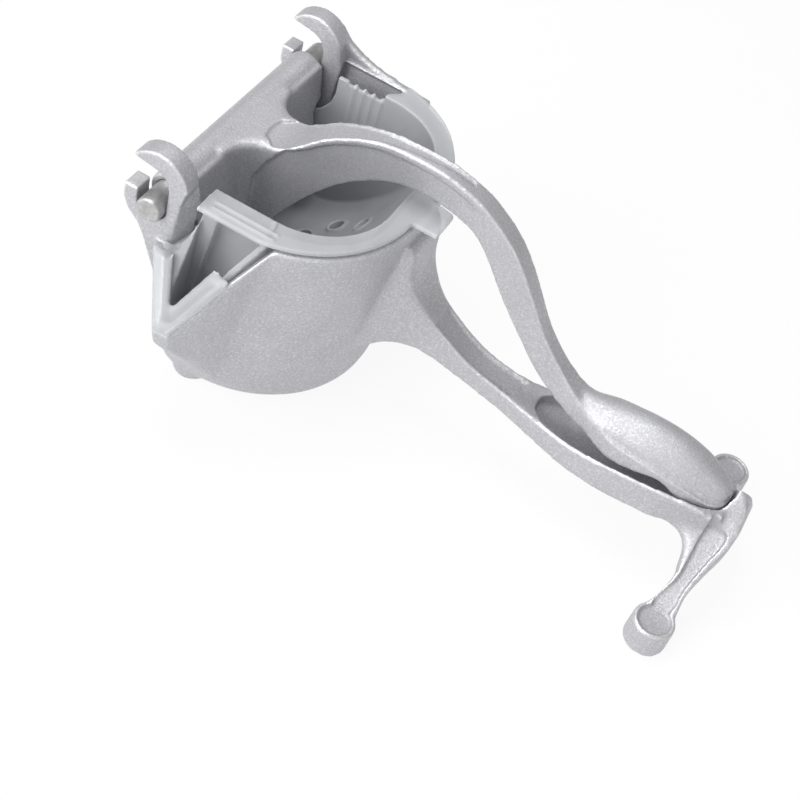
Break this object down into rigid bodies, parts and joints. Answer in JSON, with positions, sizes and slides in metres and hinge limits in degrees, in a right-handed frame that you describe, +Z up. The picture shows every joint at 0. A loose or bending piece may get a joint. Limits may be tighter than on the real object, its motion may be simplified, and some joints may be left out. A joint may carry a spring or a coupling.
{
  "type": "hand press fruit juicer",
  "caption": "Cast hand-press juicer: a spouted cup with a strainer liner, a lower handle on a foot bar, and a hinged press arm with a spoon-shaped grip.",
  "frame": {"origin": "middle of the footprint's bounding box, on the surface that the press stands on", "axes": "+X from the hinge to the grip, +Z up, pouring spout towards -Y"},
  "size_m": [0.2336, 0.1344, 0.1128],
  "materials": {
    "cast_aluminium": "satin sand-cast silver",
    "pin_steel": "rough turned steel",
    "milky_plastic": "milky translucent"
  },
  "bodies": {
    "base": {"cup": "cast_aluminium", "front_hinge_ear": "cast_aluminium", "rear_hinge_ear": "cast_aluminium", "lower_handle": "cast_aluminium", "foot_bar": "cast_aluminium", "strainer_liner": "milky_plastic"},
    "pin": {"hinge_pin": "pin_steel"},
    "arm": {"press_arm": "cast_aluminium"}
  },
  "joints": [
    {"name": "pin_lift", "type": "slide", "parent": "base", "child": "pin", "axis": [0, 0, 1], "range_m": [0, 0.008]},
    {"name": "arm_hinge", "type": "hinge", "parent": "pin", "child": "arm", "pos_m": [-0.1052, 0.00875, 0.085], "axis": [0, -1, 0], "range_deg": [0, 105]}
  ]
}
